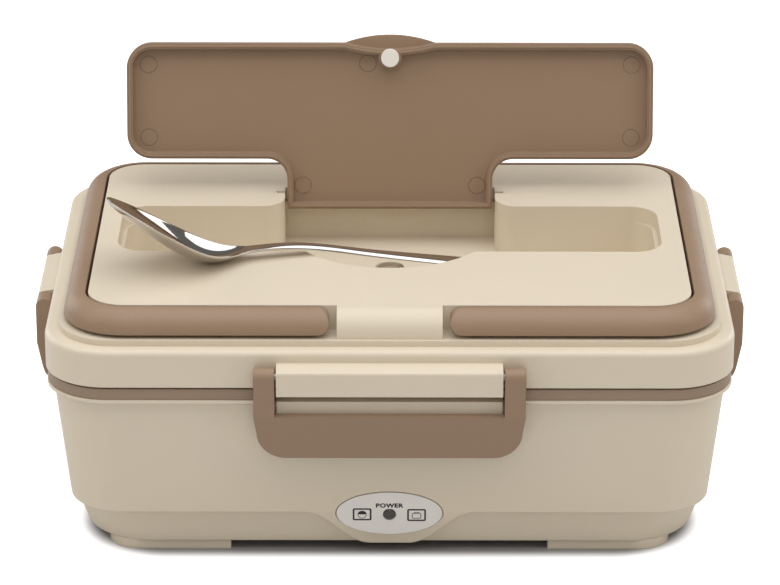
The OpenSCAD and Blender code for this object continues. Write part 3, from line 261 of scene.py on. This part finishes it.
def ejector_rings():
    bm = bmesh.new()
    for x, y in EJECTOR_AT:
        ring = bmesh.new()
        bmesh.ops.create_circle(ring, cap_ends=False, segments=8, radius=EJECTOR_LINE_R)
        bmesh.ops.rotate(ring, verts=ring.verts, matrix=Matrix.Rotation(math.pi / 2, 3, "X"))
        bmesh.ops.translate(ring, verts=ring.verts, vec=(EJECTOR_R, 0, 0))
        bmesh.ops.spin(ring, geom=ring.verts[:] + ring.edges[:], cent=(0, 0, 0), axis=(0, 0, 1),
            angle=2 * math.pi, steps=48, use_merge=True)
        bmesh.ops.translate(ring, verts=ring.verts, vec=(x, y, COVER_INNER_Z))
        merge_into(bm, ring)
    bmesh.ops.transform(bm, verts=bm.verts, matrix=COVER_OPEN)
    outward(bm)
    return piece("cutlery_cover_ejector_rings", bm, BROWN, "cover")


ejector_rings()

# step along the lip of the cover: a merged copy of the lip's own faces, inset and raised
LIP_Z = 86.0
LIP_MARGIN = 0.62
LIP_STEP = 0.35
LIP_ROOT = 0.05


def on_lip(face):
    return face.normal.z <= -0.98 and abs(face.calc_center_median().z - LIP_Z) <= 0.02


def cover_lip_step():
    bm = bmesh.new()
    bm.from_mesh(NODES["cutlery_cover"].data)
    bmesh.ops.transform(bm, verts=bm.verts, matrix=COVER_OPEN.inverted())
    bmesh.ops.remove_doubles(bm, verts=bm.verts, dist=0.001)
    bm.normal_update()
    bmesh.ops.delete(bm, geom=[f for f in bm.faces if not on_lip(f)], context="FACES")
    made = bmesh.ops.inset_region(bm, faces=bm.faces[:], thickness=LIP_MARGIN, use_boundary=True,
        use_even_offset=True)
    bmesh.ops.delete(bm, geom=made["faces"], context="FACES")
    bmesh.ops.translate(bm, verts=bm.verts, vec=(0, 0, LIP_ROOT))
    raised = bmesh.ops.extrude_face_region(bm, geom=bm.faces[:] + bm.edges[:])
    top = [v for v in raised["geom"] if isinstance(v, bmesh.types.BMVert)]
    bmesh.ops.translate(bm, verts=top, vec=(0, 0, -LIP_STEP - LIP_ROOT))
    bmesh.ops.transform(bm, verts=bm.verts, matrix=COVER_OPEN)
    outward(bm, smooth=False)
    return piece("cutlery_cover_lip_step", bm, BROWN, "cover")


cover_lip_step()

# The prints are drawn in millimetres on the panel's own plane, which leans with the wall.
FRONT_Y = 74.654
PANEL_Z = 16.5
WALL_LEAN = math.atan(0.105)
PRINT_LIFT = 0.16
ON_PANEL = (Matrix.Scale(MM, 4) @ Matrix.Translation((0, -FRONT_Y, PANEL_Z))
    @ Matrix.Rotation(math.pi / 2 + WALL_LEAN, 4, "X") @ Matrix.Translation((0, 0, PRINT_LIFT)))
INK_T = 0.05
GROUND_DROP = 0.02


def inked(part, x, y):
    """Raises a flat shape to the thickness of the ink and puts it at its place on the panel."""
    bmesh.ops.solidify(part, geom=part.faces[:], thickness=INK_T)
    bmesh.ops.translate(part, verts=part.verts, vec=(x, y, 0))
    return part


def flat_box(w, h, r):
    """Flat rectangle with round corners."""
    part = bmesh.new()
    bmesh.ops.create_grid(part, x_segments=1, y_segments=1, size=0.5)
    bmesh.ops.scale(part, verts=part.verts, vec=(w, h, 1))
    bmesh.ops.bevel(part, geom=part.verts[:], offset=r, offset_type="OFFSET", segments=4,
        profile=0.5, affect="VERTICES", material=-1)
    return part


def flat_disc(r):
    part = bmesh.new()
    bmesh.ops.create_circle(part, cap_ends=True, segments=32, radius=r)
    return part


def hollowed(part, line):
    """Leaves only the outline of a flat shape, as wide as the printed line."""
    bmesh.ops.inset_region(part, faces=part.faces[:1], thickness=line, use_even_offset=True,
        use_boundary=True)
    middle = max(part.faces, key=lambda f: f.calc_area())
    bmesh.ops.delete(part, geom=[middle], context="FACES")
    return part


def legend(body, width, height):
    """Generic lettering in the built-in face, made a mesh and fitted to its printed size."""
    cu = bpy.data.curves.new("legend", "FONT")
    cu.body = body
    cu.offset = 0.05
    cu.space_character = 1.08
    ob = bpy.data.objects.new("legend", cu)
    bpy.context.scene.collection.objects.link(ob)
    bpy.context.view_layer.update()
    me = bpy.data.meshes.new_from_object(ob.evaluated_get(bpy.context.evaluated_depsgraph_get()))
    bpy.data.objects.remove(ob)
    bpy.data.curves.remove(cu)
    part = bmesh.new()
    part.from_mesh(me)
    bpy.data.meshes.remove(me)
    xs = [v.co.x for v in part.verts]
    ys = [v.co.y for v in part.verts]
    bmesh.ops.translate(part, verts=part.verts,
        vec=(-(min(xs) + max(xs)) / 2, -(min(ys) + max(ys)) / 2, 0))
    bmesh.ops.scale(part, verts=part.verts,
        vec=(width / (max(xs) - min(xs)), height / (max(ys) - min(ys)), 1))
    return part


LEGEND_W, LEGEND_H = 9.6, 1.75
LEGEND_X, LEGEND_Y = 0.1, 3.2
BOWL_X, BOWL_Y = -9.45, -0.5
BOWL_R, BOWL_LINE, BOWL_FILL_R = 1.55, 0.22, 1.45
BOX_X, BOX_Y = 9.4, -0.95
BOX_W, BOX_H, BOX_R, BOX_LINE = 3.2, 2.3, 0.5, 0.26
STROKE_W, STROKE_H, STROKE_R, STROKE_Y = 0.34, 0.62, 0.12, 0.25
# frames round the two icons, and the pale fields inside them
ICON_AT = [(BOWL_X, -0.4), (BOX_X, -0.65)]
FRAME_W, FRAME_H, FRAME_R, FRAME_LINE = 6.5, 4.9, 0.6, 0.6
GROUND_W, GROUND_H, GROUND_R = 6.0, 4.4, 0.5


def icon_grounds():
    bm = bmesh.new()
    for x, y in ICON_AT:
        merge_into(bm, inked(flat_box(GROUND_W, GROUND_H, GROUND_R), x, y))
    bmesh.ops.translate(bm, verts=bm.verts, vec=(0, 0, -GROUND_DROP))
    bmesh.ops.transform(bm, verts=bm.verts, matrix=ON_PANEL)
    outward(bm, smooth=False)
    return piece("control_panel_icon_grounds", bm, PRINT_WHITE, "base")


icon_grounds()


def panel_print():
    bm = bmesh.new()
    merge_into(bm, inked(legend("POWER", LEGEND_W, LEGEND_H), LEGEND_X, LEGEND_Y))
    for x, y in ICON_AT:
        merge_into(bm, inked(hollowed(flat_box(FRAME_W, FRAME_H, FRAME_R), FRAME_LINE), x, y))
    # a bowl: rim line, and its upper half filled
    merge_into(bm, inked(hollowed(flat_disc(BOWL_R), BOWL_LINE), BOWL_X, BOWL_Y))
    half = flat_disc(BOWL_FILL_R)
    bmesh.ops.bisect_plane(half, geom=half.verts[:] + half.edges[:] + half.faces[:],
        plane_co=(0, 0.1, 0), plane_no=(0, 1, 0), clear_inner=True)
    merge_into(bm, inked(half, BOWL_X, BOWL_Y))
    # a lidded box: outline and four short strokes of its lid
    merge_into(bm, inked(hollowed(flat_box(BOX_W, BOX_H, BOX_R), BOX_LINE), BOX_X, BOX_Y))
    for dx in (-0.75, -0.25, 0.25, 0.75):
        merge_into(bm, inked(flat_box(STROKE_W, STROKE_H, STROKE_R), BOX_X + dx, STROKE_Y))
    bmesh.ops.transform(bm, verts=bm.verts, matrix=ON_PANEL)
    outward(bm, smooth=False)
    return piece("control_panel_print", bm, INK, "base")


panel_print()


# Spoon: the same form as in the part's source, on a finer sheet, in millimetres

TIP_X, END_X, REST_X = -97.6, 62.0, -61.0
BOWL_L, BOWL_HW, BOWL_D = 51.0, 15.0, 6.0
WIDEST = 0.52
NECK_W, GRIP_HW, SPOON_T = 2.6, 5.4, 1.7
END_L = 5
SPOON_Y, SPOON_TURN, SPOON_ROLL = -28.6, math.radians(14.0), math.radians(6.0)
FLAT_TOP_Z, SIDE_GAP = 91.5, 0.3
GRIP_CROWN = 0.3
GRIP_SHOULDER = 0.85
# stations of the side view: place along x, height, slope
ROUTE = [(-97.6, 118.4, -0.62), (-82.4, 108.5, -0.66), (-66.3, 98.4, -0.52),
    (-54.5, 94.9, -0.06), (-41, 95.4, 0.02), (-31, 94.9, -0.12), (-8, 90.2, -0.22),
    (20, 84.5, -0.2), (42, 79.6, -0.25), (62, 74.2, -0.28)]


def ease(x, x0, x1):
    """Rises from 0 to 1 between two places, level at both."""
    return (1 - math.cos(math.pi * min(1, max(0, (x - x0) / (x1 - x0))))) / 2


def route(x):
    """Height of the spoon's middle line, smooth through the stations."""
    k = 0
    while k < len(ROUTE) - 2 and x > ROUTE[k + 1][0]:
        k += 1
    (x0, z0, s0), (x1, z1, s1) = ROUTE[k], ROUTE[k + 1]
    w = x1 - x0
    t = (x - x0) / w
    h = 3 * t * t - 2 * t * t * t
    return z0 * (1 - h) + z1 * h + w * (s0 * t * (1 - t) * (1 - t) - s1 * t * t * (1 - t))


def half_w(x):
    t = (x - TIP_X) / BOWL_L
    if t < WIDEST:
        return max(0.5, BOWL_HW * math.sqrt(max(0, 1 - ((WIDEST - t) / WIDEST) ** 2)))
    end = 1
    if x > END_X - END_L:
        end = math.sqrt(max(0.03, 1 - ((x - END_X + END_L) / (END_L + 0.1)) ** 2))
    return (NECK_W + (BOWL_HW - NECK_W) * (1 - ease(t, WIDEST, 1))
        + (GRIP_HW - NECK_W) * ease(x, -30, END_X) * end)


def hollow(x):
    """Depth of the bowl along the middle line."""
    t = (x - TIP_X) / (BOWL_L * 0.94)
    return 0.0 if t > 1 else BOWL_D * math.sin(math.pi * t) ** (0.75 if t < 0.5 else 1.2)


def sheet_t(x):
    return SPOON_T * (0.7 + 0.3 * ease(x, -56, -36))


# the bowl's lowest point, between these two places, just clears the flat top
BOWL_FROM, BOWL_TO = -75, -45
LIFT = FLAT_TOP_Z + SIDE_GAP - min(route(x / 2) - hollow(x / 2) - sheet_t(x / 2)
    for x in range(2 * BOWL_FROM, 2 * BOWL_TO + 1))


def spoon_point(along, across, under):
    """A point of the upper or lower face; rows crowd together towards both ends and edges."""
    crowded = 0.55 * along + 0.45 * math.sin(along * math.pi / 2)
    x = (TIP_X + END_X) / 2 + (END_X - TIP_X) / 2 * crowded
    q = 0.65 * across + 0.35 * math.sin(across * math.pi / 2)
    w = half_w(x)
    roll = math.tan(SPOON_ROLL) * (1 - ease(x, TIP_X + BOWL_L * 0.6, TIP_X + BOWL_L * 1.3))
    crown = GRIP_CROWN * ease(x, -40, -20) * q * q
    z = route(x) + LIFT - hollow(x) * (1 - q * q) - w * q * roll - crown
    z -= under * sheet_t(x) * (1 - 0.35 * abs(q) ** 3)
    z -= (1 - under) * GRIP_SHOULDER * ease(x, -52, -30) * abs(q) ** 4
    return Vector((x - w * q * math.sin(SPOON_TURN),
        SPOON_Y + (x - REST_X) * math.tan(SPOON_TURN) + w * q * math.cos(SPOON_TURN), z)) * MM


def polished_spoon():
    """Two grids shaped to the spoon's faces, joined along its rim and smoothed."""
    bm = bmesh.new()
    for under in (0, 1):
        face = bmesh.new()
        bmesh.ops.create_grid(face, x_segments=96, y_segments=20, size=1.0)
        for v in face.verts:
            v.co = spoon_point(v.co.x, v.co.y, under)
        merge_into(bm, face)
    bmesh.ops.bridge_loops(bm, edges=[e for e in bm.edges if e.is_boundary])
    outward(bm)
    ob = piece("polished_spoon", bm, SPOON, "cutlery")
    sub = ob.modifiers.new("smooth", "SUBSURF")
    sub.levels = sub.render_levels = 1
    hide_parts("spoon")
    return ob


polished_spoon()


# Stage: lit paper with a painted shadow, dark under the box and white again a few millimetres
# outside its feet

# the painted shadow fills this rounded footprint and fades to white paper over FADE beyond the
# corner radius
FOOTPRINT = (0.077, 0.044, 0)
CORNER = 0.026
FADE = 0.0085
PAPER = (0.72, 0.72, 0.72, 1)
# darker paper inside the footprint is a painted contact shadow, which also dims the bounce onto
# the box
PAPER_PAINTED_SHADOW = (0.3, 0.3, 0.3, 1)
GLOW = 0.75
FLOOR_SIZE = 12.0


def paper_sweep():
    """Paper with a painted contact shadow: its reflectance and its glow, which only the camera
    sees, fade out inside the box's rounded footprint.
    """
    m, nt, bs = new_material("matt_white_paper_painted_shadow")
    bs.inputs["Roughness"].default_value = 0.9
    bs.inputs["Emission Color"].default_value = (1, 1, 1, 1)
    tc = add(nt, "ShaderNodeTexCoord")
    mirrored = add(nt, "ShaderNodeVectorMath", _operation="ABSOLUTE")
    past = add(nt, "ShaderNodeVectorMath", _operation="SUBTRACT")
    past.inputs[1].default_value = FOOTPRINT
    outside = add(nt, "ShaderNodeVectorMath", _operation="MAXIMUM")
    outside.inputs[1].default_value = (0, 0, 0)
    away = add(nt, "ShaderNodeVectorMath", _operation="LENGTH")
    fade = add(nt, "ShaderNodeMapRange", _interpolation_type="SMOOTHSTEP", From__Min=CORNER,
        From__Max=CORNER + FADE)
    # the paper's tone runs from the painted shadow's dark to plain paper, and its glow is seen
    # only by camera rays
    tone = add(nt, "ShaderNodeMix", _data_type="RGBA", A=PAPER_PAINTED_SHADOW, B=PAPER)
    ray = add(nt, "ShaderNodeLightPath")
    seen = add(nt, "ShaderNodeMath", _operation="MULTIPLY")
    glow = add(nt, "ShaderNodeMath", _operation="MULTIPLY")
    glow.inputs[1].default_value = GLOW
    nt.links.new(tc.outputs["Object"], mirrored.inputs[0])
    nt.links.new(mirrored.outputs[0], past.inputs[0])
    nt.links.new(past.outputs[0], outside.inputs[0])
    nt.links.new(outside.outputs[0], away.inputs[0])
    nt.links.new(away.outputs["Value"], fade.inputs["Value"])
    nt.links.new(fade.outputs["Result"], seen.inputs[0])
    nt.links.new(ray.outputs["Is Camera Ray"], seen.inputs[1])
    nt.links.new(seen.outputs[0], glow.inputs[0])
    nt.links.new(glow.outputs[0], bs.inputs["Emission Strength"])
    nt.links.new(fade.outputs["Result"], tone.inputs["Factor"])
    nt.links.new(tone.outputs["Result"], bs.inputs["Base Color"])
    return m


sweep = paper_sweep()
bpy.ops.mesh.primitive_plane_add(size=FLOOR_SIZE)
floor = bpy.context.object
floor.name = "studio_floor"
floor.data.materials.append(sweep)

SURROUND = 0.16
world = bpy.data.worlds.new("soft_studio_surround")
bpy.context.scene.world = world
world.use_nodes = True
bg = world.node_tree.nodes["Background"]
bg.inputs[0].default_value = (1, 1, 1, 1)
bg.inputs[1].default_value = SURROUND


# Lights

def area(name, place, look, size, watts, col="#FFFFFF"):
    """A square softbox at a place, turned to look at a point."""
    d = bpy.data.lights.new(name, "AREA")
    d.energy = watts
    d.color = hexcol(col)[:3]
    d.size = size
    o = bpy.data.objects.new(name, d)
    bpy.context.scene.collection.objects.link(o)
    o.location = place
    o.rotation_euler = (Vector(look) - Vector(place)).to_track_quat("-Z", "Y").to_euler()


AT_BASE = (0, 0, 0)
AT_BOX = (0, 0, 0.05)
WARM_SIDE = "#FFF6EC"
WARM_FRONT = "#FFF5EA"
COOL_TOP = "#F8FAFF"

area("overhead_softbox", (0, 0, 1.6), AT_BASE, 2.0, 22.8, COOL_TOP)
area("high_front_softbox", (0, -1.3, 1.5), AT_BOX, 1.2, 4)
area("front_fill", (0, -2.2, 0.9), AT_BOX, 1.6, 4.2, WARM_FRONT)
for side, sx in (("left", -1), ("right", 1)):
    area(side + "_softbox", (1.5 * sx, -0.4, 1.1), AT_BOX, 1.2, 8.2, WARM_SIDE)
    area(side + "_rim_softbox", (1.5 * sx, 1.4, 0.6), AT_BOX, 1.2, 9)


# Camera, as solved from the photograph: height angle, roll, aim in millimetres, distance in
# metres, and focal length in pixels of a picture 780 pixels wide

ELEVATION = math.radians(22.777)
ROLL = math.radians(0.086)
AIM = Vector((0.0865, 0.0, 68.007)) * MM
DISTANCE = 1.37551
FOCAL_PX = 3832.24
PICTURE_PX = 780.0
SENSOR = 36.0

forward = Vector((0, math.cos(ELEVATION), -math.sin(ELEVATION)))
level = Vector((1, 0, 0))
upright = level.cross(forward)
right = level * math.cos(ROLL) + upright * math.sin(ROLL)
up = -level * math.sin(ROLL) + upright * math.cos(ROLL)
eye = AIM - forward * DISTANCE

cam_d = bpy.data.cameras.new("camera")
cam = bpy.data.objects.new("camera", cam_d)
bpy.context.scene.collection.objects.link(cam)
cam.matrix_world = Matrix(((right.x, up.x, -forward.x, eye.x), (right.y, up.y, -forward.y, eye.y),
    (right.z, up.z, -forward.z, eye.z), (0, 0, 0, 1)))
cam_d.sensor_width = SENSOR
cam_d.sensor_fit = "HORIZONTAL"
cam_d.lens = FOCAL_PX * SENSOR / PICTURE_PX
cam_d.clip_start = 0.05
cam_d.clip_end = 30.0
bpy.context.scene.camera = cam
bpy.context.scene.view_settings.view_transform = "Standard"
